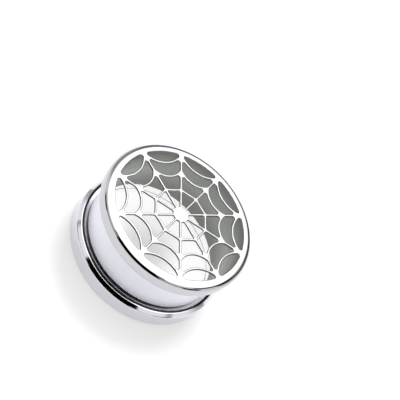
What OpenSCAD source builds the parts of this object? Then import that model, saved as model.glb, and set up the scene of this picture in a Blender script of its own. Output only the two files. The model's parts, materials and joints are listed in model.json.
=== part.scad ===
// Screw-fit ear tunnel in polished steel.
// A thin-walled barrel carries a front flange, whose face is cut through as a
// ten-spoked spider web. A back ring screws on the barrel's other end, and the
// lobe sits on the barrel between the two. The axis is Z, the web faces up, and
// the back ring stands on z = 0. One spoke points along +Y.

/* [Barrel] */
// Outer diameter of the barrel, the tunnel's gauge
gauge_d = 25; // [18:0.5:40]
// Wall of the barrel
barrel_wall = 0.7; // [0.65:0.05:1.2]
// Free length of the barrel between the flange and the back ring
wear_len = 7.45; // [5:0.05:16]

/* [Front flange] */
// How far the flange stands out past the barrel
flange_reach = 1.7; // [1.4:0.05:3]
// Thickness of the flange, its face included
flange_t = 2.45; // [2.1:0.05:4]
// Radius of the round on the edge of the face
face_edge_r = 1.05; // [0.3:0.05:1.3]
// Radius of the round on the flange's rear edge
flange_rear_r = 0.3; // [0.1:0.05:0.6]
// Radius of the fillet where the flange meets the barrel
root_fillet_r = 0.35; // [0.1:0.05:0.6]

/* [Back ring] */
// How far the ring stands out past the barrel
ring_reach = 1.7; // [1.4:0.05:3]
// Thickness of the ring along the axis
ring_t = 3.5; // [3.1:0.05:5]
// Slope of the ring's front face, down towards its outer edge
front_slope = 25; // [5:1:30]
// Radius of the round on the ring's outer edge towards the lobe
ring_front_r = 0.9; // [0.3:0.05:1.1]
// Radius of the round on the ring's outer edge towards the back
ring_rear_r = 0.5; // [0.1:0.05:0.9]
// Depth of the well round the barrel in the ring's front, where its shoulder stands
well_depth = 0.6; // [0.3:0.05:0.7]
// Room between the barrel and the wall of that well
well_room = 0.6; // [0.45:0.05:0.8]
// Flat between the well and the slope of the front face
well_land = 0.05; // [0.02:0.01:0.2]
// How far the lip behind the thread stands in past the thread
lip_reach = 0.45; // [0.2:0.05:0.6]
// Radius of the round on the lip's rear edge
lip_edge_r = 0.3; // [0.1:0.05:0.4]

/* [Screw fit] */
// Length of the threaded end of the barrel
thread_len = 1.5; // [1.2:0.1:1.6]
// Distance from one turn of the thread to the next
thread_pitch = 0.35; // [0.25:0.05:0.5]
// Depth of the thread
thread_depth = 0.15; // [0.1:0.01:0.2]
// How far the crests of the thread lie below the barrel's surface
thread_relief = 0.2; // [0.1:0.05:0.25]
// Plain land before the first turn and after the last one
thread_land = 0.2; // [0.1:0.05:0.3]
// Radial clearance between the barrel's thread and the ring's
thread_gap = 0.05; // [0.02:0.01:0.1]
// Gap between the barrel's shoulder and the floor of the ring's well
seat_gap = 0.02; // [0.01:0.01:0.1]
// Gap between the barrel's end and the ring's lip
end_gap = 0.05; // [0.02:0.01:0.3]
// Height of the taper that opens the bore at the barrel's end
bore_lead_h = 1.7; // [0.2:0.05:2]
// Share of the wall under the thread that this taper takes away
bore_lead_share = 0.5; // [0.2:0.05:0.7]

/* [Web] */
// Thickness of the pierced plate
web_t = 0.35; // [0.25:0.05:0.6]
// How far the openings reach out past the bore
web_overreach = 0.6; // [0.2:0.05:0.8]
// Room between the openings and the wall of the flange behind them
web_room = 0.05; // [0.02:0.01:0.1]
// Length of the taper that widens the bore behind the web
taper_len = 3.9; // [3.5:0.1:6]
// Number of spokes
spokes = 10; // [8:1:12]
// Width of a spoke
spoke_w = 0.37; // [0.3:0.01:0.6]
// Width of a cross thread
cross_w = 0.37; // [0.3:0.01:0.6]
// Radius of the disc at the middle of the web
hub_r = 1.5; // [1:0.05:2]
// Radius of the round in the corners of the openings next to the hub
hub_corner_r = 0.2; // [0.1:0.05:0.25]
// Radius of the round in the corners of the other openings
corner_r = 0.38; // [0.1:0.02:0.4]

/* [Hidden] */

// Cross threads, from the hub out. Each is an arc between two spokes that bows
// towards the hub: the distance from the hub to its middle, and its radius. Both
// are shares of the radius of the openings.
web_thread_shares = [
    [0.383, 1.20],
    [0.600, 0.310],
    [0.819, 0.425],
];

lathe_fn = 128;
web_fn = 60;
corner_fn = 16;
arc_steps = 8;

// Radii, from the axis out
barrel_r = gauge_d / 2;
bore_r = barrel_r - barrel_wall;
openings_r = bore_r + web_overreach;
room_r = openings_r + web_room;
flange_r = barrel_r + flange_reach;
thread_r = barrel_r - thread_relief;
thread_root_r = thread_r - thread_depth;
bore_mouth_r = bore_r + bore_lead_share * (thread_root_r - bore_r);
ring_r = barrel_r + ring_reach;
ring_thread_r = thread_r + thread_gap;
lip_r = ring_thread_r - lip_reach;
well_r = barrel_r + well_room;
slope_from_r = well_r + well_land;
front_round_r = min(ring_front_r, (ring_r - slope_from_r) / (1 - sin(front_slope)));
slope_to_r = ring_r - front_round_r * (1 - sin(front_slope));

// Heights, from the back up
well_z = ring_t - well_depth;
slope_to_z = ring_t - (slope_to_r - slope_from_r) * tan(front_slope);
shoulder_z = well_z + seat_gap;
barrel_end_z = shoulder_z - thread_len;
lip_z = barrel_end_z - end_gap;
flange_z = ring_t + wear_len;
face_z = flange_z + flange_t;
web_z = face_z - web_t;
bore_top_z = web_z - taper_len;

// How far the cut through the web runs past the plate, short of the taper
overcut = web_room;

thread_turns = floor((thread_len - 2 * thread_land) / thread_pitch);
first_turn_z = shoulder_z - thread_land;
sector = 360 / spokes;

// Points of an arc in the profile, from one angle to another
function arc(r, z, radius, from, to) =
    [for (step = [0 : arc_steps])
        let (a = from + (to - from) * step / arc_steps)
        [r + radius * cos(a), z + radius * sin(a)]];

// Points of the V-shaped turns of a thread, from the top turn down
function turns(crest_r, depth) =
    [for (turn = [0 : thread_turns - 1])
        let (z = first_turn_z - turn * thread_pitch)
        each [[crest_r, z], [crest_r - depth, z - thread_pitch / 2]]];

function reversed(points) = [for (i = [len(points) - 1 : -1 : 0]) points[i]];

// Half section of the barrel, its flange and the plate that the web is cut from
function tunnel_profile() = concat(
    [[0, web_z], [0, face_z]],
    arc(flange_r - face_edge_r, face_z - face_edge_r, face_edge_r, 90, 0),
    arc(flange_r - flange_rear_r, flange_z + flange_rear_r, flange_rear_r, 0, -90),
    arc(barrel_r + root_fillet_r, flange_z - root_fillet_r, root_fillet_r, 90, 180),
    [[barrel_r, shoulder_z], [thread_r, shoulder_z]],
    turns(thread_r, thread_depth),
    [
        [thread_r, first_turn_z - thread_turns * thread_pitch],
        [thread_r, barrel_end_z + thread_depth],
        [thread_root_r, barrel_end_z],
        [bore_mouth_r, barrel_end_z],
        [bore_r, barrel_end_z + bore_lead_h],
        [bore_r, bore_top_z],
        [room_r, web_z],
    ]
);

// Half section of the back ring
function ring_profile() = concat(
    [[slope_from_r, ring_t]],
    arc(
        ring_r - front_round_r, slope_to_z - front_round_r * cos(front_slope),
        front_round_r, 90 - front_slope, 0
    ),
    arc(ring_r - ring_rear_r, ring_rear_r, ring_rear_r, 0, -90),
    arc(lip_r + lip_edge_r, lip_edge_r, lip_edge_r, -90, -180),
    [
        [lip_r, lip_z],
        [ring_thread_r, lip_z],
        [ring_thread_r, first_turn_z - thread_turns * thread_pitch],
    ],
    reversed(turns(ring_thread_r, -thread_depth)),
    [[ring_thread_r, well_z], [well_r, well_z], [well_r, ring_t]]
);

// One cross thread, cut to its sector between two spokes
module cross_thread(thread) {
    mid_r = thread.x * openings_r;
    bow_r = thread.y * openings_r;
    intersection() {
        translate([mid_r + bow_r, 0])
            difference() {
                circle(r = bow_r + cross_w / 2, $fn = web_fn);
                circle(r = bow_r - cross_w / 2, $fn = web_fn);
            }
        polygon([
            [0, 0],
            flange_r * [cos(sector / 2), -sin(sector / 2)],
            flange_r * [cos(sector / 2), sin(sector / 2)],
        ]);
    }
}

// The lines of the web: hub, spokes and cross threads
module web_lines() {
    circle(r = hub_r, $fn = web_fn);
    for (i = [0 : spokes - 1]) {
        rotate(90 + i * sector)
            translate([0, -spoke_w / 2])
                square([flange_r, spoke_w]);
        rotate(90 + (i + 0.5) * sector)
            for (thread = web_thread_shares)
                cross_thread(thread);
    }
}

// The same area with its outward corners rounded
module rounded(radius) {
    offset(r = radius, $fn = corner_fn)
        offset(delta = -radius)
            children();
}

// The openings of the web: those next to the hub, then all the others
module web_openings() {
    split_r = web_thread_shares[0].x * openings_r;
    rounded(hub_corner_r)
        difference() {
            circle(r = split_r, $fn = web_fn);
            web_lines();
        }
    rounded(corner_r)
        difference() {
            circle(r = openings_r, $fn = 2 * web_fn);
            circle(r = split_r, $fn = web_fn);
            web_lines();
        }
}

module tunnel() {
    color("gainsboro")
        difference() {
            rotate_extrude($fn = lathe_fn)
                polygon(tunnel_profile());
            translate([0, 0, web_z - overcut])
                linear_extrude(web_t + 2 * overcut)
                    web_openings();
        }
}

module back_ring() {
    color("silver")
        rotate_extrude($fn = lathe_fn)
            polygon(ring_profile());
}

tunnel();
back_ring();
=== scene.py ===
"""Dressed model of a screw-fit ear tunnel with a pierced web face, standing on a pale studio floor.

The tunnel's axis is Z, the web faces up, and the back ring stands on the floor at z = 0. Sizes are
in millimetres, as on a drawing, and MeshBuilder turns them into Blender's metres. Places and
directions seen from above are complex numbers, X + Yj, so that a product turns them.
"""
from __future__ import annotations

import cmath
import json
import logging
import math
from abc import ABC, abstractmethod
from dataclasses import dataclass, field, replace
from enum import IntEnum
from itertools import count
from typing import Any, Callable, ClassVar, Iterable, Sequence

import bpy
from mathutils import Matrix, Vector
from mathutils.geometry import delaunay_2d_cdt


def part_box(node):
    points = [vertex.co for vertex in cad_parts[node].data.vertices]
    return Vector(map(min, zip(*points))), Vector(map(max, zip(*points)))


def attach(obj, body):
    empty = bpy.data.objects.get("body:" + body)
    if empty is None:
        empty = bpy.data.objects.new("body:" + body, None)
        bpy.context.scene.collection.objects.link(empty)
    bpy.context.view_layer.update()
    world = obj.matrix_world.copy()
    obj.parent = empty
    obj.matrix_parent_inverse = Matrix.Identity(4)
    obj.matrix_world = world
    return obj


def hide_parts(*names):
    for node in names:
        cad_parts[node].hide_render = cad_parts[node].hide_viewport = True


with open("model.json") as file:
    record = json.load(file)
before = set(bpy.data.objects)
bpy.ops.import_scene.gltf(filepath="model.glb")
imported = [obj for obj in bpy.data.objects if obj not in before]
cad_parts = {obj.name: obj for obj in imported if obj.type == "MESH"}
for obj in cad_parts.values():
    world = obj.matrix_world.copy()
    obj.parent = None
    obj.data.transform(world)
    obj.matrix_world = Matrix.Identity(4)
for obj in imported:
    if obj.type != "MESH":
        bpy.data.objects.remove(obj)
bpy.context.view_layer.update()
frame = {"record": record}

MM = 0.001
TURN = 2 * math.pi
FULL_CIRCLE = 360.0
DEGREES_PER_RADIAN = math.degrees(1)

# Radius of a corner that is only a joint, where the finish changes in a straight wall, and the
# room between a joint and the nearest round
JOINT = 0.0
JOINT_ROOM = 0.02

Pair = tuple[float, float]
Edge = list[tuple[complex, complex]]
Colour = tuple[float, float, float]
Values = dict[str | int, Any]

log = logging.getLogger("ear_tunnel")


class Finish(IntEnum):
    """Finishes of the steel, several of them painted lighter or darker than the steel is, as light
    and shade.
    """

    FLANGE = 0
    RING_PAINTED_LIGHT = 1
    BARREL_SATIN_AND_SHEEN = 2
    PAINTED_LIGHT_LIP = 3
    PAINTED_SHADE_BORE = 4
    PAINTED_SHADE_CUT = 5
    THREAD = 6
    PAINTED_SHADE_UNDERSIDE = 7
    WELL_PAINTED_SHADE = 8


Materials = dict[Finish, bpy.types.Material]


def mount_radius(name: str) -> float:
    """Return the radius of one of the part's mounts, in millimetres."""
    mounts = {mount["name"]: mount for mount in frame["record"]["mounts"]}
    return mounts[name]["dims"]["r_mm"]


def node_span(node: str) -> tuple[float, float, float]:
    """Return a round CAD node's outer radius, lowest and highest height, in millimetres."""
    low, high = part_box(node)
    return (high[0] - low[0]) / 2 / MM, low[2] / MM, high[2] / MM


def steps_along(length: float, step: float, fewest: int = 2) -> int:
    """Return how many even steps, none longer than the one given, cover a length."""
    return max(fewest, math.ceil(length / step))


def add_to_scene(name: str, data: bpy.types.ID) -> bpy.types.Object:
    """Make an object and link it to the scene.

    Args:
        name: The object's name.
        data: Its mesh, light or camera.

    Returns:
        The object.
    """
    thing = bpy.data.objects.new(name, data)
    bpy.context.scene.collection.objects.link(thing)
    return thing


# Lathe work: profiles, stations and rings


@dataclass(frozen=True)
class Corner:
    """A corner of a lathe profile.

    Attributes:
        radius: Radius of the round or fillet there, or JOINT.
        finish: Finish of the surface from this corner to the next.
        thread: True where the surface from this corner to the next is threaded.
    """

    r: float
    z: float
    radius: float = 0.05
    finish: Finish = Finish.FLANGE
    thread: bool = False


@dataclass(frozen=True)
class Station:
    """One ring of a lathe surface, with the normal there and the finish up to the next ring.

    Attributes:
        relief: How much of the thread's depth is cut at this height, from 0 to 1.
    """

    r: float
    z: float
    normal_r: float
    normal_z: float
    finish: Finish
    relief: float = 0.0


@dataclass(frozen=True)
class Thread:
    """A helical thread cut into a round wall.

    Attributes:
        pitch: Distance from one turn to the next.
        depth: Depth of the groove, towards the axis when positive and away from it otherwise.
        rows: Rings of the mesh for each turn.
        run_out: Length over which the groove fades at each end.
    """

    pitch: float
    depth: float
    rows: int = 9
    run_out: float = 0.22

    def cut(self, z: float, angle: float) -> tuple[float, float, float]:
        """Work out the groove at one place.

        Args:
            z: Height.
            angle: Angle round the axis.

        Returns:
            The depth cut there, its slope along z and its slope round the axis.
        """
        phase = TURN * z / self.pitch - angle
        depth = self.depth * (1 - math.cos(phase)) / 2
        slope = self.depth * math.sin(phase) / 2
        return depth, slope * TURN / self.pitch, -slope


class Profile:
    """A lathe profile whose corners are rounded, walked with the metal on its right."""

    ROUND_STEP: ClassVar[float] = math.radians(7.5)

    def __init__(self, corners: Sequence[Corner], closed: bool, thread: Thread) -> None:
        """Round the corners and keep the stations.

        Args:
            corners: The corners in order. An open profile's first and last are plain ends.
            closed: True where the last corner joins the first.
            thread: The thread cut between corners that ask for one.
        """
        self.thread = thread
        self.closed = closed
        self.stations: list[Station] = []
        last = len(corners) - 1
        for i, corner in enumerate(corners):
            after = corners[0 if i == last else i + 1]
            if closed or 0 < i < last:
                self._round(corners[i - 1], corner, after)
            else:
                self._add(corner, self._heading(*(corners[:2] if i == 0 else corners[-2:])))
            if corner.thread:
                self._rows_of_thread(after)

    @staticmethod
    def _heading(start: Corner, stop: Corner) -> float:
        """Return the direction from one corner to another, as an angle in the profile's plane."""
        return math.atan2(stop.z - start.z, stop.r - start.r)

    def _add(self, place: Corner, heading: float) -> None:
        """Add a station at a place, where the surface runs along a heading."""
        self.stations.append(
            Station(place.r, place.z, -math.sin(heading), math.cos(heading), place.finish))

    def _round(self, before: Corner, corner: Corner, after: Corner) -> None:
        """Add the stations of a rounded corner, or the one station of a joint.

        Args:
            before: The corner before it.
            corner: The corner itself.
            after: The corner after it.
        """
        start = self._heading(before, corner)
        if corner.radius == JOINT:
            self._add(corner, start)
            return
        turn = (self._heading(corner, after) - start + math.pi) % TURN - math.pi
        side = -1 if turn < 0 else 1
        reach = corner.radius * math.tan(abs(turn) / 2)
        centre_r = corner.r - reach * math.cos(start) - side * corner.radius * math.sin(start)
        centre_z = corner.z - reach * math.sin(start) + side * corner.radius * math.cos(start)
        steps = steps_along(abs(turn), self.ROUND_STEP)
        for step in range(steps + 1):
            heading = start + turn * step / steps
            self._add(Corner(
                centre_r + side * corner.radius * math.sin(heading),
                centre_z - side * corner.radius * math.cos(heading),
                finish=before.finish if step == 0 else corner.finish,
            ), heading)

    def _rows_of_thread(self, stop: Corner) -> None:
        """Add the rings of a threaded wall, up to just before the next corner's round.

        Args:
            stop: The corner at the wall's far end.
        """
        first = self.stations[-1]
        last_z = stop.z - math.copysign(stop.radius, stop.z - first.z)
        length = abs(last_z - first.z)
        rows = round(length / self.thread.pitch * self.thread.rows)
        for row in range(1, rows):
            along = row / rows
            relief = min(1.0, min(along, 1 - along) * length / self.thread.run_out)
            z = first.z + (last_z - first.z) * along
            self.stations.append(replace(first, z=z, relief=relief))


@dataclass
class MeshBuilder:
    """Collects vertices with exact normals and faces with finishes, and makes one mesh of them."""

    name: str
    points: list[tuple[float, float, float]] = field(default_factory=list)
    normals: list[Vector] = field(default_factory=list)
    faces: list[tuple[int, ...]] = field(default_factory=list)
    finishes: list[Finish] = field(default_factory=list)

    # How Blender is to fill a plate: by triangles inside its outlines, with points closer
    # together than this joined
    TRIANGLES_INSIDE: ClassVar[int] = 1
    JOIN_DISTANCE: ClassVar[float] = 1e-6

    def vertex(self, place: complex, z: float, normal: complex, rise: float) -> int:
        """Add a vertex.

        Args:
            place: Where it is, seen from above.
            z: Height.
            normal: Normal of the surface there, seen from above.
            rise: Upward part of the normal.

        Returns:
            The vertex's index.
        """
        self.points.append((place.real, place.imag, z))
        self.normals.append(Vector((normal.real, normal.imag, rise)).normalized())
        return len(self.points) - 1

    def face(self, corners: Iterable[int], finish: Finish) -> None:
        """Add a face."""
        self.faces.append(tuple(corners))
        self.finishes.append(finish)

    def band(self, first: Sequence[int], second: Sequence[int], finish: Finish) -> None:
        """Join two closed rings of vertices by quads that face left of the way across.

        Args:
            first: Ring that the band starts from.
            second: Ring that it ends at, with as many vertices.
            finish: Finish of the quads.
        """
        for i in range(len(first)):
            j = (i + 1) % len(first)
            self.face((first[i], second[i], second[j], first[j]), finish)

    def plate(
        self, rim: Sequence[int], holes: Sequence[Sequence[int]], up: bool, finish: Finish
    ) -> None:
        """Fill a flat area that has holes.

        Args:
            rim: Ring of vertices round the area.
            holes: Rings of vertices round the holes.
            up: True where the plate faces up.
            finish: Finish of the plate.
        """
        loops = [rim, *holes]
        indices = [index for loop in loops for index in loop]
        number = count()
        outlines = [[next(number) for _ in loop] for loop in loops]
        flat = [Vector(self.points[index][:2]) for index in indices]
        _, _, faces, sources, _, areas = delaunay_2d_cdt(
            flat, [], outlines, self.TRIANGLES_INSIDE, self.JOIN_DISTANCE, True)
        rim_only = [0]
        for face, area in zip(faces, areas):
            if list(area) == rim_only:
                corners = [indices[sources[vertex][0]] for vertex in face]
                self.face(corners if up else reversed(corners), finish)

    def lathe(self, profile: Profile, segments: int) -> list[list[int]]:
        """Turn a profile round the axis.

        Args:
            profile: The profile.
            segments: Number of segments round the axis.

        Returns:
            The rings of vertices, one for each station.
        """
        rings = [self._ring(station, profile.thread, segments) for station in profile.stations]
        for i, station in enumerate(profile.stations[: None if profile.closed else -1]):
            self.band(rings[i], rings[(i + 1) % len(rings)], station.finish)
        return rings

    def _ring(self, station: Station, thread: Thread, segments: int) -> list[int]:
        """Add the vertices of one station.

        Args:
            station: The station.
            thread: The thread, which is cut there if the station has relief.
            segments: Number of segments round the axis.

        Returns:
            The indices of the ring's vertices.
        """
        ring = []
        side = math.copysign(1.0, station.normal_r)
        for i in range(segments):
            angle = TURN * i / segments
            r, around, rise = station.r, 0.0, station.normal_z
            if station.relief > 0:
                depth, slope_z, slope_angle = thread.cut(station.z, angle)
                r -= depth * station.relief
                around = side * slope_angle * station.relief / station.r
                rise = side * slope_z * station.relief
            out = cmath.rect(1, angle)
            normal = complex(station.normal_r, around) * out
            ring.append(self.vertex(r * out, station.z, normal, rise))
        return ring

    def build(self, materials: Materials) -> bpy.types.Object:
        """Make the object.

        Args:
            materials: The material of each finish.

        Returns:
            The object, in the scene.
        """
        mesh = bpy.data.meshes.new(self.name)
        mesh.from_pydata([Vector(point) * MM for point in self.points], [], self.faces)
        used = sorted(set(self.finishes))
        for finish in used:
            mesh.materials.append(materials[finish])
        slots = [used.index(finish) for finish in self.finishes]
        mesh.polygons.foreach_set("material_index", slots)
        mesh.polygons.foreach_set("use_smooth", [True] * len(self.faces))
        mesh.update()
        mesh.normals_split_custom_set_from_vertices([normal[:] for normal in self.normals])
        log.info("%s: %d vertices, %d faces", self.name, len(self.points), len(self.faces))
        return add_to_scene(self.name, mesh)


# The web: openings between spokes and cross threads


@dataclass(frozen=True)
class Rail:
    """A line or an arc along the edge of an opening.

    Attributes:
        centre: The arc's centre, or a point on the line.
        radius: The arc's radius, or 0 for a line.
        facing: For an arc 1 where the opening is outside it and -1 where it is inside, and for a
            line the direction of the opening, as an angle.
    """

    centre: complex
    radius: float
    facing: float

    def inward(self, place: complex) -> complex:
        """Find the way from the rail into the opening.

        Args:
            place: Where it is asked for.

        Returns:
            The unit vector into the opening there.
        """
        if self.radius == 0:
            return cmath.rect(1, self.facing)
        away = place - self.centre
        return self.facing * away / abs(away)

    def depth(self, place: complex) -> float:
        """Measure how far into the opening a place lies.

        Args:
            place: The place.

        Returns:
            Its distance from the rail, below 0 outside the opening.
        """
        away = place - self.centre
        if self.radius == 0:
            return (away * cmath.rect(1, -self.facing)).real
        return self.facing * (abs(away) - self.radius)

    def foot(self, place: complex) -> complex:
        """Return the point of the rail that is nearest to a place."""
        return place - self.inward(place) * self.depth(place)


class Opening:
    """An opening bounded by rails, with its corners rounded.

    Its edge is a list of points, each with the unit vector into the opening.
    """

    ROUND_STEP: ClassVar[float] = math.radians(12)
    RAIL_STEP: ClassVar[float] = 0.3
    NEWTON_ROUNDS: ClassVar[int] = 12

    def __init__(self, rails: Sequence[Rail], corners: Sequence[complex], radius: float) -> None:
        """Work out the edge.

        Args:
            rails: The rails, counterclockwise.
            corners: A guess at each corner. Corner i is where rail i ends and the next starts.
            radius: Radius of the corners.
        """
        self.edge: Edge = []
        after = [*rails[1:], rails[0]]
        centres = [self._fillet_centre(*meeting, radius) for meeting in zip(rails, after, corners)]
        for i, rail in enumerate(rails):
            self._walk(rail, centres[i - 1], centres[i])
            self._turn(rail, after[i], centres[i], radius)

    def _fillet_centre(self, first: Rail, second: Rail, place: complex, radius: float) -> complex:
        """Find the point that lies a radius inside both rails, by Newton's method.

        Args:
            first: One rail.
            second: The other rail.
            place: Where to start.
            radius: Distance from both rails.

        Returns:
            The centre of the rounded corner.
        """
        for _ in range(self.NEWTON_ROUNDS):
            a, b = first.inward(place), second.inward(place)
            miss_a, miss_b = radius - first.depth(place), radius - second.depth(place)
            place += 1j * (miss_b * a - miss_a * b) / (a.conjugate() * b).imag
        return place

    def _walk(self, rail: Rail, start: complex, stop: complex) -> None:
        """Add the points inside a rail's own stretch, without its ends.

        Args:
            rail: The rail.
            start: Centre of the rounded corner before it.
            stop: Centre of the rounded corner after it.
        """
        a, b = rail.foot(start), rail.foot(stop)
        steps = steps_along(abs(b - a), self.RAIL_STEP, 1)
        for step in range(1, steps):
            foot = rail.foot(a + (b - a) * step / steps)
            self.edge.append((foot, rail.inward(foot)))

    def _turn(self, before: Rail, after: Rail, centre: complex, radius: float) -> None:
        """Add the points of a rounded corner, with its ends.

        Args:
            before: Rail that ends at the corner.
            after: Rail that starts there.
            centre: The corner's centre.
            radius: The corner's radius.
        """
        start = cmath.phase(before.inward(centre))
        turn = (cmath.phase(after.inward(centre)) - start) % TURN
        steps = steps_along(turn, self.ROUND_STEP)
        for step in range(steps + 1):
            inward = cmath.rect(1, start + turn * step / steps)
            self.edge.append((centre - radius * inward, inward))


@dataclass(frozen=True)
class WebPattern:
    """Spokes, cross threads and hub of the web, and the openings that they leave.

    Attributes:
        radius: Radius of the circle that the openings reach.
        hub_corner: Radius of the corners of the openings next to the hub.
        corner: Radius of the other openings' corners.
        threads: The rings of cross threads, from the hub out: the distance from the hub to the
            middle of an arc and the arc's radius, as shares of the radius of the openings.
    """

    radius: float
    spokes: int = 10
    spoke_width: float = 0.37
    cross_width: float = 0.37
    hub_radius: float = 1.5
    hub_corner: float = 0.2
    corner: float = 0.38
    threads: tuple[Pair, ...] = ((0.383, 1.20), (0.600, 0.310), (0.819, 0.425))

    # Where corners are looked for, as shares of the half sector and, for the tips of the
    # lens-shaped outer openings, of the radius too
    CORNER_TURN: ClassVar[float] = 0.6
    TIP_TURN: ClassVar[float] = 0.8
    TIP_REACH: ClassVar[float] = 0.9

    @property
    def half_sector(self) -> float:
        """Half of the angle between two spokes."""
        return math.pi / self.spokes

    def _spoke_rail(self, side: int) -> Rail:
        """Return the edge of the spoke on one side of the sector, -1 or 1."""
        facing = side * (self.half_sector - math.pi / 2)
        return Rail(cmath.rect(self.spoke_width / 2, facing), 0, facing)

    def _cross_rail(self, thread: Pair, side: int) -> Rail:
        """Return the edge of a cross thread on its side towards the hub, 1, or the rim, -1."""
        mid, bow = thread[0] * self.radius, thread[1] * self.radius
        return Rail(mid + bow, bow + side * self.cross_width / 2, side)

    def _guess(self, r: float, turn: float, side: int) -> complex:
        """Return a point on one side of the sector's middle, by a share of the half sector."""
        return cmath.rect(r, side * self.half_sector * turn)

    def openings(self) -> list[Edge]:
        """Work out all the openings.

        Returns:
            The edge of each opening, counterclockwise, with one spoke along +Y.
        """
        low, high = self._spoke_rail(-1), self._spoke_rail(1)
        inner, inner_r, corner = Rail(0, self.hub_radius, 1), self.hub_radius, self.hub_corner
        sector = []
        for thread in self.threads:
            outer_r = thread[0] * self.radius
            ends = [self._guess(r, self.CORNER_TURN, side)
                    for r, side in ((inner_r, -1), (outer_r, -1), (outer_r, 1), (inner_r, 1))]
            sector.append(Opening([inner, low, self._cross_rail(thread, 1), high], ends, corner))
            inner, inner_r, corner = self._cross_rail(thread, -1), outer_r, self.corner
        rim = Rail(0, self.radius, -1)
        ends = [self._guess(self.TIP_REACH * self.radius, self.TIP_TURN, side) for side in (-1, 1)]
        sector.append(Opening([inner, rim], ends, self.corner))
        turns = [cmath.rect(1, math.pi / 2 + (2 * k + 1) * self.half_sector)
                 for k in range(self.spokes)]
        return [[(place * turn, inward * turn) for place, inward in cell.edge]
                for turn in turns for cell in sector]


# Materials


def operator(operation: str, reflected: bool = False) -> Callable[..., Field]:
    """Make an operator of Field, which adds a Math node.

    Args:
        operation: The node's operation.
        reflected: True where the field comes last, as in 1 - field.

    Returns:
        The operator.
    """
    def method(self: Field, *others: Field | float) -> Field:
        """Return the result of the operation on the field and the other terms."""
        terms = (*others, self) if reflected else (self, *others)
        return self.shader.field("ShaderNodeMath", {"operation": operation}, dict(enumerate(terms)))

    return method


@dataclass(frozen=True)
class Field:
    """A number or colour that varies over a surface: an output socket with arithmetic."""

    shader: Shader
    socket: bpy.types.NodeSocket

    __add__, __radd__ = operator("ADD"), operator("ADD", reflected=True)
    __sub__, __rsub__ = operator("SUBTRACT"), operator("SUBTRACT", reflected=True)
    __mul__, __rmul__ = operator("MULTIPLY"), operator("MULTIPLY", reflected=True)
    __truediv__, __rtruediv__ = operator("DIVIDE"), operator("DIVIDE", reflected=True)
    __pow__, __rpow__ = operator("POWER"), operator("POWER", reflected=True)
    __mod__, __rmod__ = operator("FLOORED_MODULO"), operator("FLOORED_MODULO", reflected=True)
    __abs__ = operator("ABSOLUTE")
    angle_from = operator("ARCTAN2")
    arcsine = operator("ARCSINE")

    def ramp(self, low: float, high: float, to_low: float = 0.0, to_high: float = 1.0) -> Field:
        """Map a range smoothly onto another.

        Args:
            low: Value that gives to_low.
            high: Value that gives to_high.
            to_low: Result at and below low.
            to_high: Result at and above high.

        Returns:
            The result.
        """
        return self.shader.field("ShaderNodeMapRange", {"interpolation_type": "SMOOTHSTEP"}, {
            "Value": self, "From Min": low, "From Max": high, "To Min": to_low, "To Max": to_high,
        })


class Shader:
    """A node tree that is built up node by node."""

    def __init__(self, owner: bpy.types.Material | bpy.types.World) -> None:
        """Start an empty tree.

        Args:
            owner: The material or world that the tree is for.
        """
        owner.use_nodes = True
        self.tree = owner.node_tree
        self.tree.nodes.clear()

    def node(self, kind: str, settings: Values, inputs: Values) -> bpy.types.Node:
        """Add a node.

        Args:
            kind: The node's type.
            settings: Its properties, set first.
            inputs: Values or links of its sockets, by name or number.

        Returns:
            The node.
        """
        node = self.tree.nodes.new(kind)
        for name, value in settings.items():
            setattr(node, name, value)
        for key, value in inputs.items():
            if isinstance(value, Field):
                self.tree.links.new(value.socket, node.inputs[key])
            else:
                node.inputs[key].default_value = value
        return node

    def field(
        self, kind: str, settings: Values, inputs: Values, output: str | int = 0
    ) -> Field:
        """Add a node as node() does, and return one of its outputs."""
        return Field(self, self.node(kind, settings, inputs).outputs[output])

    def parts(self, vector: Field) -> tuple[Field, ...]:
        """Return the parts of a vector along X, Y and Z."""
        node = self.node("ShaderNodeSeparateXYZ", {}, {"Vector": vector})
        return tuple(Field(self, output) for output in node.outputs)

    def mix(self, share: Field, first: Colour, second: Colour) -> Field:
        """Return a mix of two colours, with the share of the second given."""
        # The node has a socket of each name for each type, so the ones for colours go by number
        colours = {0: share, 6: (*first, 1.0), 7: (*second, 1.0)}
        return self.field("ShaderNodeMix", {"data_type": "RGBA"}, colours, 2)

    def noise(
        self, vector: Field, fourth: Field | float | None = None, scale: float = 1.0,
        detail: float = 2.0, roughness: float = 0.5,
    ) -> Field:
        """Add a noise.

        Args:
            vector: Where the noise is read.
            fourth: Fourth coordinate, for a noise that has four.
            scale: Features for each unit of the vector.
            detail: Number of finer octaves.
            roughness: Strength of the finer octaves.

        Returns:
            The noise, from 0 to 1.
        """
        settings = {}
        values = {"Vector": vector, "Scale": scale, "Detail": detail, "Roughness": roughness}
        if fourth is not None:
            settings["noise_dimensions"] = "4D"
            values["W"] = fourth
        return self.field("ShaderNodeTexNoise", settings, values)


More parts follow.
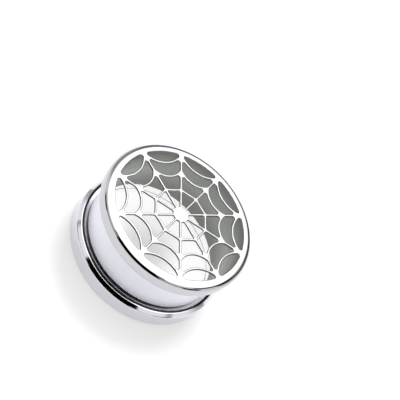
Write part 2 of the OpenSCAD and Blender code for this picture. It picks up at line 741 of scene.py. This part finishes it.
class Surface:
    """Coordinates on a turned piece, in millimetres, and noises laid along them."""

    def __init__(self, shader: Shader) -> None:
        """Read the position on the piece.

        Args:
            shader: The material's shader.
        """
        self.shader = shader
        metres = shader.field("ShaderNodeTexCoord", {}, {}, "Object")
        self.place = shader.field(
            "ShaderNodeVectorMath", {"operation": "SCALE"}, {"Vector": metres, "Scale": 1 / MM})
        self.x, self.y, self.z = shader.parts(self.place)
        self.r = (self.x * self.x + self.y * self.y) ** 0.5

    def noise(self, scale: float, detail: float, roughness: float, seed: float = 0.0) -> Field:
        """Return an even noise over the piece, with this many features for each millimetre."""
        return self.shader.noise(self.place, seed, scale, detail, roughness)

    def _drawn_out(self, around: float, along: float, seed: float) -> Field:
        """Return a vector that changes by these amounts for each radian and each millimetre."""
        return self.shader.field("ShaderNodeCombineXYZ", {}, {
            0: self.x / self.r * around, 1: self.y / self.r * around, 2: self.z * along + seed,
        })

    def turned_noise(
        self, along: float, around: float, seed: float = 0.0, detail: float = 2.0
    ) -> Field:
        """Lay a noise that is drawn out round the axis, as a lathe or a buffing wheel leaves it.

        Args:
            along: Lines for each millimetre across the turning marks.
            around: Features for each radian round the axis.
            seed: Picks one noise among many.
            detail: Number of finer octaves.

        Returns:
            The noise, from 0 to 1.
        """
        vector = self._drawn_out(around, along, seed)
        return self.shader.noise(vector, self.r * along, detail=detail)

    def axial_noise(self, around: float, along: float) -> Field:
        """Return a noise drawn out along the axis, with these features for each radian and mm."""
        return self.shader.noise(self._drawn_out(around, along, 0.0), detail=3.0)


@dataclass(frozen=True)
class SteelFinish(ABC):
    """What every steel finish has.

    Attributes:
        name: Name of the material.
        colour: Colour of the reflection.
        shade: Second colour, mixed in where the finish is uneven.
        rough: Roughness.
        rough_spread: How much the roughness varies.
        bump: Height of the surface's marks, in millimetres.
        metallic: Share of the light that the metal mirrors. The rest scatters in the surface.
    """

    name: str
    colour: Colour
    shade: Colour
    rough: float
    rough_spread: float
    bump: float
    metallic: float = 1.0

    def unevenness(self, surface: Surface) -> Field:
        """Return where the finish is uneven, from 0 to 1."""
        return surface.noise(scale=0.35, detail=3.0, roughness=0.55)

    @abstractmethod
    def marks(self, surface: Surface) -> Field:
        """Return the height of the surface's marks, as a share of the bump."""

    def material(self) -> bpy.types.Material:
        """Make the material.

        Returns:
            The material.
        """
        material = bpy.data.materials.new(self.name)
        shader = Shader(material)
        surface = Surface(shader)
        uneven = self.unevenness(surface)
        bump = shader.field("ShaderNodeBump", {}, {
            "Strength": 1.0, "Distance": self.bump * MM, "Height": self.marks(surface),
        })
        steel = shader.field("ShaderNodeBsdfPrincipled", {}, {
            "Base Color": shader.mix(uneven, self.colour, self.shade),
            "Metallic": self.metallic,
            "Roughness": self.rough + self.rough_spread * uneven,
            "Normal": bump,
        })
        shader.node("ShaderNodeOutputMaterial", {}, {"Surface": steel})
        return material


@dataclass(frozen=True)
class PolishedSteel(SteelFinish):
    """Mirror polish with faint buffing lines and a few hairline scratches.

    Attributes:
        buffing: Height of the buffing lines, as a share of the bump.
        ripple: Height of a soft ripple.
        hairline: Depth of the hairlines.
        hairline_span: Values of their noise between which they are cut.
    """

    bump: float = 0.0012
    buffing: float = 0.35
    ripple: float = 2.0
    hairline: float = 0.3
    hairline_span: Pair = (0.66, 0.72)

    def marks(self, surface: Surface) -> Field:
        """Lay the buffing lines, a soft ripple and the hairlines.

        Args:
            surface: Coordinates on the piece.

        Returns:
            The height of the marks.
        """
        lines = surface.turned_noise(along=14.0, around=3.0, seed=2.0)
        ripple = surface.noise(scale=0.6, detail=1.0, roughness=0.5, seed=8.0)
        scratches = surface.turned_noise(along=5.0, around=40.0, seed=5.0).ramp(*self.hairline_span)
        return self.buffing * lines + self.ripple * ripple - self.hairline * scratches


@dataclass(frozen=True)
class SatinSteel(SteelFinish):
    """Satin finish of fine lines round the barrel, as a fine belt leaves it."""

    def marks(self, surface: Surface) -> Field:
        """Return the height of the marks: fine lines round the barrel."""
        return surface.turned_noise(along=16.0, around=2.0, seed=7.0, detail=3.0)


@dataclass(frozen=True)
class TurnedSteel(SteelFinish):
    """Steel as the lathe left it: fine rings, with duller streaks along the axis.

    Attributes:
        streak_share: Share of the streaks in the unevenness. Rings make up the rest.
    """

    streak_share: float = 0.6

    def unevenness(self, surface: Surface) -> Field:
        """Return where the steel is duller: streaks along the axis and rings round it."""
        rings = surface.turned_noise(along=2.5, around=0.8, seed=3.0)
        return (self.streak_share * surface.axial_noise(around=9.0, along=0.08)
                + (1 - self.streak_share) * rings)

    def marks(self, surface: Surface) -> Field:
        """Return the height of the turning marks."""
        return surface.turned_noise(along=9.0, around=0.6, seed=1.0, detail=3.0)


@dataclass(frozen=True)
class PaintedShadeBoreSteel(TurnedSteel):
    """Turned bore, painted darker towards both ends as shade.

    Attributes:
        low_shade_span: Heights, in millimetres, between which the painted shade fades out going up
            from the open end.
        high_shade_span: Heights between which the painted shade deepens towards the web.
        painted_shade_share: Share of the painted shade at the ends in the unevenness.
    """

    low_shade_span: Pair = (3.5, 9.0)
    high_shade_span: Pair = (10.5, 15.0)
    painted_shade_share: float = 0.8

    def unevenness(self, surface: Surface) -> Field:
        """Return where the bore is painted darker: shade towards its ends, with streaks and rings.
        """
        # Painted shade: darker towards the open end and towards the web
        ends = surface.z.ramp(*self.low_shade_span, 1.0, 0.0) + surface.z.ramp(*self.high_shade_span)
        return self.painted_shade_share * ends + (1 - self.painted_shade_share) * super().unevenness(surface)


@dataclass(frozen=True)
class CutSteel(SteelFinish):
    """Cut wall of an opening, with fine upright striations."""

    def marks(self, surface: Surface) -> Field:
        """Return the height of the striations, which run through the plate."""
        flat = surface.shader.field("ShaderNodeCombineXYZ", {}, {0: surface.x, 1: surface.y})
        return surface.shader.noise(flat, scale=9.0)


def steel_finishes() -> Materials:
    """Make the steel's materials.

    Returns:
        The material of each finish.
    """
    finishes: dict[Finish, SteelFinish] = {
        Finish.FLANGE: PolishedSteel(
            "flange_steel", colour=(0.578, 0.578, 0.602), shade=(0.538, 0.538, 0.56),
            rough=0.045, rough_spread=0.04),
        # Partly real, partly painted light: the ring's polish is real, and its steel is lighter and
        # bluer than the flange's to stand in for the lighter lavender reflections on its sides
        Finish.RING_PAINTED_LIGHT: PolishedSteel(
            "back_ring_steel", colour=(0.775, 0.77, 0.82), shade=(0.735, 0.73, 0.778),
            rough=0.045, rough_spread=0.04),
        # Partly real, partly painted light: the satin finish is real, and its near-white lavender
        # colour, with a share of scattered light, stands in for the barrel's lavender-white
        # reflection
        Finish.BARREL_SATIN_AND_SHEEN: SatinSteel(
            "satin_barrel_steel", colour=(0.93, 0.93, 1.0), shade=(0.88, 0.88, 0.95),
            rough=0.46, rough_spread=0.08, bump=0.002, metallic=0.65),
        # Painted light: near-white steel, lighter than the steel is, on the barrel's mouth and the
        # ring's lip and rear, standing in for the light inside the tunnel's open end
        Finish.PAINTED_LIGHT_LIP: PolishedSteel(
            "lip_steel", colour=(0.97, 0.97, 0.97), shade=(0.93, 0.93, 0.93),
            rough=0.10, rough_spread=0.05),
        # Painted shade: the bore's steel is dark grey-green, and darker towards its ends, standing
        # in for the shade inside the tunnel
        Finish.PAINTED_SHADE_BORE: PaintedShadeBoreSteel(
            "turned_bore_steel", colour=(0.350, 0.362, 0.338), shade=(0.200, 0.207, 0.193),
            rough=0.34, rough_spread=0.08, bump=0.004),
        # Painted shade: the openings' walls are darker than the face's steel, so they draw as
        # shaded outlines
        Finish.PAINTED_SHADE_CUT: CutSteel(
            "cut_steel", colour=(0.30, 0.30, 0.30), shade=(0.22, 0.22, 0.22),
            rough=0.30, rough_spread=0.10, bump=0.004),
        Finish.THREAD: TurnedSteel(
            "thread_steel", colour=(0.60, 0.60, 0.61), shade=(0.52, 0.52, 0.53),
            rough=0.14, rough_spread=0.10, bump=0.002),
        # Painted shade: near-black steel under the flange, where the flange shades it
        Finish.PAINTED_SHADE_UNDERSIDE: TurnedSteel(
            "turned_underside_steel", colour=(0.06, 0.06, 0.06), shade=(0.04, 0.04, 0.04),
            rough=0.12, rough_spread=0.06, bump=0.002),
        # Painted shade: near-black steel on the barrel's neck and round the ring's well, standing
        # in for the shade and dark reflections in the groove
        Finish.WELL_PAINTED_SHADE: PolishedSteel(
            "neck_steel", colour=(0.03, 0.03, 0.03), shade=(0.02, 0.02, 0.02),
            rough=0.20, rough_spread=0.04),
    }
    return {finish: steel.material() for finish, steel in finishes.items()}


# Pieces


@dataclass
class TurnedPiece(ABC):
    """A piece of steel turned on the lathe. Lengths are in millimetres.

    Attributes:
        node, body, slot: CAD node that it replaces and body that it rides on; slot, the name of a
            material slot, is not used.
        segments: Segments round the axis.
        thread_relief: How far the thread's crests lie below the barrel's surface.
        well_depth: Depth of the ring's well, on whose floor the barrel's shoulder stands.
        sharp_edge: Radius of the small rounds on the shoulder, the thread and the well.
    """

    name: str
    node: str
    body: str
    slot: str
    segments: int = 288
    thread_pitch: float = 0.35
    thread_depth: float = 0.15
    thread_relief: float = 0.2
    well_depth: float = 0.6
    sharp_edge: float = 0.04

    @abstractmethod
    def profile(self) -> Profile:
        """Return the profile that is turned."""

    def fill(self, builder: MeshBuilder, rings: Sequence[Sequence[int]]) -> None:
        """Add what isn't turned, between the profile's rings. A plain ring has nothing there."""

    def build(self, materials: Materials) -> bpy.types.Object:
        """Build the piece and put it in place of its CAD node.

        Args:
            materials: The material of each finish.

        Returns:
            The piece.
        """
        builder = MeshBuilder(self.name)
        self.fill(builder, builder.lathe(self.profile(), self.segments))
        piece = builder.build(materials)
        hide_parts(self.node)
        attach(piece, self.body)
        return piece


@dataclass
class Tunnel(TurnedPiece):
    """Barrel, front flange and pierced web, in one piece of steel.

    Attributes:
        end_edge, mouth_edge: Radii on the barrel's end, outside and inside.
        bore_lead, bore_mouth: Height and width of the taper that opens the bore at its end.
        lead_round, taper_round: Radii where this taper and the one behind the web meet the bore.
        web_overreach: How far the web's openings reach out past the bore.
        web_room: Room between the openings and the wall of the taper behind them.
        ledge_round: Radius where that taper meets the web, as a share of the ledge there.
        edge_break, back_break: Radii of the openings' edges, on the face and behind.
        painted_shade_neck_length: Length of the neck above the shoulder that is painted near black,
            as the shade in the ring's well.
    """

    name: str = "steel_tunnel"
    node: str = "tunnel"
    body: str = "tunnel_body"
    slot: str = "tunnel_steel"
    flange_thickness: float = 2.45
    face_edge: float = 1.05
    flange_rear_edge: float = 0.3
    root_fillet: float = 0.35
    end_edge: float = 0.1
    mouth_edge: float = 0.03
    bore_lead: float = 1.7
    bore_mouth: float = 0.175
    lead_round: float = 0.5
    taper: float = 3.9
    taper_round: float = 3.0
    web_thickness: float = 0.35
    web_overreach: float = 0.6
    web_room: float = 0.15
    ledge_round: float = 0.6
    edge_break: float = 0.13
    back_break: float = 0.06
    seat_gap: float = 0.02
    painted_shade_neck_length: float = 0.8

    EDGE_STEPS: ClassVar[int] = 4

    def __post_init__(self) -> None:
        """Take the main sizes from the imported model."""
        self.flange_r, self.end_z, self.face_z = node_span(self.node)
        self.web_z = self.face_z - self.web_thickness
        self.barrel_r = mount_radius("lobe_seat")
        self.bore_r = mount_radius("bore")
        self.shoulder_z = node_span("back_ring")[2] - self.well_depth + self.seat_gap
        self.web = WebPattern(self.bore_r + self.web_overreach)

    def profile(self) -> Profile:
        """Draw the profile, from the face outwards and round to the back of the web.

        Returns:
            The profile, which is open where the web is.
        """
        flange_z = self.face_z - self.flange_thickness
        thread_r = self.barrel_r - self.thread_relief
        room_r = self.web.radius + self.web_room
        ledge = self.web_room - self.back_break - JOINT_ROOM
        underside_r = self.flange_r - self.flange_rear_edge - JOINT_ROOM
        root_r = self.barrel_r + self.root_fillet + JOINT_ROOM
        return Profile([
            Corner(room_r, self.face_z),
            Corner(self.flange_r, self.face_z, self.face_edge),
            Corner(self.flange_r, flange_z, self.flange_rear_edge),
            # The flange's underside is painted near black, as shade under the flange
            Corner(underside_r, flange_z, JOINT, Finish.PAINTED_SHADE_UNDERSIDE),
            Corner(root_r, flange_z, JOINT, Finish.BARREL_SATIN_AND_SHEEN),
            Corner(self.barrel_r, flange_z, self.root_fillet, Finish.BARREL_SATIN_AND_SHEEN),
            # The neck is painted near black, as shade in the ring's well
            Corner(self.barrel_r, self.shoulder_z + self.painted_shade_neck_length, JOINT, Finish.WELL_PAINTED_SHADE),
            Corner(self.barrel_r, self.shoulder_z, self.sharp_edge, Finish.THREAD),
            Corner(thread_r, self.shoulder_z, self.sharp_edge, Finish.THREAD, thread=True),
            Corner(thread_r, self.end_z, self.end_edge, Finish.THREAD),
            # The barrel's mouth is painted near white as light
            Corner(self.bore_r + self.bore_mouth, self.end_z, self.mouth_edge, Finish.PAINTED_LIGHT_LIP),
            Corner(self.bore_r, self.end_z + self.bore_lead, self.lead_round, Finish.PAINTED_SHADE_BORE),
            Corner(self.bore_r, self.web_z - self.taper, self.taper_round, Finish.PAINTED_SHADE_BORE),
            Corner(room_r, self.web_z, ledge * self.ledge_round, Finish.PAINTED_SHADE_BORE),
            Corner(room_r - ledge, self.web_z),
        ], closed=False, thread=Thread(self.thread_pitch, self.thread_depth))

    def _opening_rings(self, builder: MeshBuilder, edge: Edge) -> list[list[int]]:
        """Add the wall of an opening, with its edges broken; the wall is painted darker as shade.

        Args:
            builder: The mesh.
            edge: The opening's edge.

        Returns:
            The rings of the wall, from the back of the web to its face.
        """
        steps = self.EDGE_STEPS
        rings = []
        for level, sign, radius in ((self.web_z, -1, self.back_break),
                                    (self.face_z, 1, self.edge_break)):
            for step in range(steps + 1):
                tilt = math.pi / 2 * (step if sign > 0 else steps - step) / steps
                flat, rise = math.cos(tilt), math.sin(tilt)
                inset = radius * (1 - flat)
                z = level - sign * (radius * (1 - rise))
                rings.append([
                    builder.vertex(place - inset * inward, z, flat * inward, sign * rise)
                    for place, inward in edge
                ])
        for lower, upper in zip(rings, rings[1:]):
            builder.band(lower, upper, Finish.PAINTED_SHADE_CUT)
        return rings

    def fill(self, builder: MeshBuilder, rings: Sequence[Sequence[int]]) -> None:
        """Fill the web between its openings, on the face and behind.

        Args:
            builder: The mesh.
            rings: The profile's rings, of which the first and last go round the web.
        """
        holes = [self._opening_rings(builder, edge) for edge in self.web.openings()]
        builder.plate(rings[0], [hole[-1] for hole in holes], True, Finish.FLANGE)
        builder.plate(rings[-1], [hole[0] for hole in holes], False, Finish.FLANGE)


@dataclass
class BackRing(TurnedPiece):
    """Ring that screws on the barrel's end.

    Attributes:
        front_slope, front_width: Slope and width of the narrow front face.
        bevel_slope, bevel_top: Slope of the bevel outside it, and the radius between the two.
        lip_reach: How far the lip behind the thread stands in past the thread.
        lip_edge, lip_corner: Radii of the lip's rear edge and its edge towards the barrel.
        well_land, land_edge: Flat between the well and the slope, and the radius outside it.
        painted_shade_line: Width of the line on the slope, next to the well, painted near black as
            shade.
    """

    name: str = "steel_back_ring"
    node: str = "back_ring"
    body: str = "ring_body"
    slot: str = "ring_steel"
    front_slope: float = math.radians(20.5)
    front_width: float = 0.45
    bevel_slope: float = math.radians(45)
    bevel_top: float = 0.15
    front_edge: float = 0.45
    rear_edge: float = 0.5
    lip_reach: float = 0.45
    lip_edge: float = 0.3
    lip_corner: float = 0.03
    well_room: float = 0.6
    well_land: float = 0.05
    land_edge: float = 0.05
    well_edge: float = 0.02
    painted_shade_line: float = 0.33
    thread_clearance: float = 0.05
    end_gap: float = 0.05

    def profile(self) -> Profile:
        """Draw the profile, from the front face outwards and round through the bore.

        Returns:
            The profile, which is closed.
        """
        ring_r, _, top_z = node_span(self.node)
        barrel_r = mount_radius("lobe_seat")
        thread_r = barrel_r - self.thread_relief + self.thread_clearance
        well_r = barrel_r + self.well_room
        well_z = top_z - self.well_depth
        land_r = well_r + self.well_land
        painted_shade_line_z = top_z - self.painted_shade_line * math.tan(self.front_slope)
        bevel_r = land_r + self.front_width
        bevel_z = top_z - self.front_width * math.tan(self.front_slope)
        edge_z = bevel_z - (ring_r - bevel_r) * math.tan(self.bevel_slope)
        lip_r = thread_r - self.lip_reach
        lip_z = node_span("tunnel")[1] - self.end_gap
        return Profile([
            # The well's top edge, the land and a line on the slope are painted near black, as shade
            # in the groove
            Corner(land_r, top_z, self.land_edge, Finish.WELL_PAINTED_SHADE),
            Corner(land_r + self.painted_shade_line, painted_shade_line_z, JOINT, Finish.RING_PAINTED_LIGHT),
            Corner(bevel_r, bevel_z, self.bevel_top, Finish.RING_PAINTED_LIGHT),
            Corner(ring_r, edge_z, self.front_edge, Finish.RING_PAINTED_LIGHT),
            Corner(ring_r, 0.0, self.rear_edge, Finish.RING_PAINTED_LIGHT),
            # The ring's rear face and lip are painted near white as light
            Corner(ring_r - self.rear_edge - JOINT_ROOM, 0.0, JOINT, Finish.PAINTED_LIGHT_LIP),
            Corner(lip_r, 0.0, self.lip_edge, Finish.PAINTED_LIGHT_LIP),
            Corner(lip_r, lip_z, self.lip_corner, Finish.PAINTED_LIGHT_LIP),
            Corner(thread_r, lip_z, self.sharp_edge, Finish.THREAD, thread=True),
            # The well's floor and wall take the barrel's light lavender steel, painted light
            Corner(thread_r, well_z, self.sharp_edge, Finish.BARREL_SATIN_AND_SHEEN),
            Corner(well_r, well_z, self.sharp_edge, Finish.BARREL_SATIN_AND_SHEEN),
            Corner(well_r, top_z, self.well_edge, Finish.WELL_PAINTED_SHADE),
        ], closed=True, thread=Thread(self.thread_pitch, -self.thread_depth))


# Studio


@dataclass(frozen=True)
class Flag:
    """A dark card that hangs inside the light tent.

    Attributes:
        side: Middle of the card, in degrees from the camera's side towards the right.
        width: Its full width in degrees.
        low, high: Heights of its edges above the horizon, in degrees.
        depth: How dark it is, from 0 to 1.
    """

    side: float
    width: float
    low: float
    high: float
    depth: float


@dataclass
class Studio:
    """Pale floor with painted light and shadow under the part, light tent with dark flags, and key
    light.

    Attributes:
        floor_half_size: Half of the floor's width, in metres.
        floor_glow: Light that the floor throws back, far from the part.
        painted_light_glow, painted_shadow_glow: The floor's glow close to the part, raised as
            painted light, and under its middle, lowered as a painted shadow.
        painted_shadow_span, painted_light_span: Distances from the axis between which one glow
            fades to the next.
        top_span: Heights, in degrees, between which the tent's walls turn into its top.
        back_span: Angles from the camera's side between which the front turns into the back.
        flag_softness: Half of the width of a flag's soft edge, in degrees.
        key_power, key_place, key_size: Power in watts, and place and size in metres.
    """

    floor_colour: Colour = (0.42, 0.42, 0.42)
    floor_rough: float = 0.9
    floor_gloss: float = 0.1
    floor_half_size: float = 1.5
    floor_glow: float = 0.42
    painted_light_glow: float = 0.73
    painted_shadow_glow: float = 0.19
    painted_shadow_span: Pair = (1.5, 10.0)
    painted_light_span: Pair = (11.5, 14.0)
    top_light: float = 1.92
    wall_light: float = 0.95
    back_light: float = 0.42
    top_span: Pair = (39.0, 44.0)
    back_span: Pair = (105.0, 125.0)
    flags: tuple[Flag, ...] = (
        Flag(1.5, 70, -12, 52, 1.0),
        Flag(1.5, 94, 30, 48, 1.0),
        Flag(76, 20, -12, 22, 1.0),
        Flag(-76, 20, -12, 20, 1.0),
        Flag(0, 180, 10, 22, 0.8),
        Flag(100, 30, 27, 41, 1.0),
        Flag(125, 26, 18, 38, 1.0),
        Flag(150, 34, 4, 26, 0.8),
        Flag(180, 58, -5, 38, 0.5),
    )
    flag_softness: float = 2.5
    key_power: float = 5.0
    key_place: tuple[float, float, float] = (-0.075, 0.408, 0.72)
    key_size: float = 0.3

    def floor(self) -> bpy.types.Object:
        """Lay the floor, whose glow paints light under the part and a shadow under its middle.

        Returns:
            The floor.
        """
        material = bpy.data.materials.new("pale_floor")
        shader = Shader(material)
        r = Surface(shader).r
        # Painted light: the floor glows brighter under the part; painted shadow: it glows less
        # under the part's middle
        painted_light = r.ramp(*self.painted_light_span, 1.0, 0.0)
        middle = r.ramp(*self.painted_shadow_span, 1.0, 0.0)
        glow = (self.floor_glow + (self.painted_light_glow - self.floor_glow) * painted_light
                + (self.painted_shadow_glow - self.painted_light_glow) * middle)
        paint = shader.field("ShaderNodeBsdfPrincipled", {}, {
            "Base Color": (*self.floor_colour, 1.0), "Roughness": self.floor_rough,
            "Specular IOR Level": self.floor_gloss,
            "Emission Color": glow, "Emission Strength": 1.0,
        })
        shader.node("ShaderNodeOutputMaterial", {}, {"Surface": paint})
        mesh = bpy.data.meshes.new("floor")
        half = self.floor_half_size
        corners = [(-half, -half, 0), (half, -half, 0), (half, half, 0), (-half, half, 0)]
        mesh.from_pydata(corners, [], [(0, 1, 2, 3)])
        mesh.materials.append(material)
        floor = add_to_scene("floor", mesh)
        return floor

    def _unflagged(self, azimuth: Field, elevation: Field) -> Field:
        """Work out how much of the tent the flags leave bright.

        Args:
            azimuth: Angle from the camera's side, in degrees.
            elevation: Angle above the horizon, in degrees.

        Returns:
            The share of light left there.
        """
        soft = self.flag_softness
        bright: Field | float = 1.0
        for flag in self.flags:
            off = abs((azimuth - flag.side + 1.5 * FULL_CIRCLE) % FULL_CIRCLE - FULL_CIRCLE / 2)
            across = off.ramp(flag.width / 2 - soft, flag.width / 2 + soft, 1.0, 0.0)
            above = elevation.ramp(flag.low - soft, flag.low + soft)
            below = elevation.ramp(flag.high - soft, flag.high + soft, 1.0, 0.0)
            bright = bright * (1 - flag.depth * across * above * below)
        return bright

    def tent(self) -> bpy.types.World:
        """Hang the light tent round the scene.

        Returns:
            The world.
        """
        world = bpy.data.worlds.new("light_tent")
        shader = Shader(world)
        x, y, z = shader.parts(shader.field("ShaderNodeTexCoord", {}, {}, "Generated"))
        azimuth = x.angle_from(-1.0 * y) * DEGREES_PER_RADIAN
        elevation = z.arcsine() * DEGREES_PER_RADIAN
        overhead = elevation.ramp(*self.top_span)
        behind = abs(azimuth).ramp(*self.back_span)
        side = self.wall_light * (1 - behind) + self.back_light * behind
        wall = side * (1 - overhead) + self.top_light * overhead
        tent = shader.field("ShaderNodeBackground", {}, {
            "Color": (1.0, 1.0, 1.0, 1.0), "Strength": wall * self._unflagged(azimuth, elevation),
        })
        shader.node("ShaderNodeOutputWorld", {}, {"Surface": tent})
        bpy.context.scene.world = world
        return world

    def key(self) -> bpy.types.Object:
        """Hang the key light, a round softbox behind the part and high above it.

        Returns:
            The light.
        """
        lamp = bpy.data.lights.new("key_softbox", "AREA")
        lamp.shape = "DISK"
        lamp.size = self.key_size
        lamp.energy = self.key_power
        light = add_to_scene("key_softbox", lamp)
        light.location = self.key_place
        light.rotation_euler = Vector(self.key_place).to_track_quat("Z", "Y").to_euler()
        return light


@dataclass(frozen=True)
class Shot:
    """The photograph's view.

    Attributes:
        elevation, roll: Height above the horizon and roll about the line of sight, in degrees.
        distance: Distance from the centre of the web's face.
        focal_px, image_px: Focal length, and width of the square image, in pixels.
        centre_px: Pixel at which the centre of the web's face lies.
        drawn_span: Nearest and farthest distance that is drawn, in metres.
    """

    elevation: float = 45.11
    roll: float = 45.86
    distance: float = 237.1
    focal_px: float = 1414.0
    image_px: float = 400.0
    centre_px: Pair = (181.1, 214.35)
    film_width: float = 36.0
    drawn_span: Pair = (0.01, 20.0)

    def camera(self, face_z: float) -> bpy.types.Object:
        """Set up the camera.

        Args:
            face_z: Height of the web's face, in millimetres.

        Returns:
            The camera, which is made the scene's own.
        """
        tilt, roll = math.radians(self.elevation), math.radians(self.roll)
        back = Vector((0.0, -math.cos(tilt), math.sin(tilt)))
        level_up = Vector((0.0, math.sin(tilt), math.cos(tilt)))
        level_right = Vector((1.0, 0.0, 0.0))
        right = math.cos(roll) * level_right + math.sin(roll) * level_up
        up = math.cos(roll) * level_up - math.sin(roll) * level_right
        scale = self.distance / self.focal_px
        shift_x = (self.centre_px[0] - self.image_px / 2) * scale
        shift_y = (self.image_px / 2 - self.centre_px[1]) * scale
        centre = Vector((0.0, 0.0, face_z))
        place = centre + self.distance * back - shift_x * right - shift_y * up
        data = bpy.data.cameras.new("photo_camera")
        data.sensor_width = self.film_width
        data.lens = self.focal_px / self.image_px * self.film_width
        data.clip_start, data.clip_end = self.drawn_span
        camera = add_to_scene("photo_camera", data)
        axes = Matrix((right, up, back)).transposed().to_4x4()
        camera.matrix_world = Matrix.Translation(place * MM) @ axes
        bpy.context.scene.camera = camera
        return camera


def main() -> None:
    """Build the ear tunnel, the studio and the camera."""
    logging.basicConfig(level=logging.INFO, format="%(name)s: %(message)s")
    bpy.context.scene.view_settings.view_transform = "Standard"
    materials = steel_finishes()
    tunnel = Tunnel()
    for part in (tunnel, BackRing()):
        piece = part.build(materials)
        log.info("%s rides on %s in place of %s", piece.name, part.body, part.node)
    studio = Studio()
    for item in (studio.floor(), studio.tent(), studio.key(), Shot().camera(tunnel.face_z)):
        log.info("%s is set up", item.name)


if __name__ == "__main__":
    main()
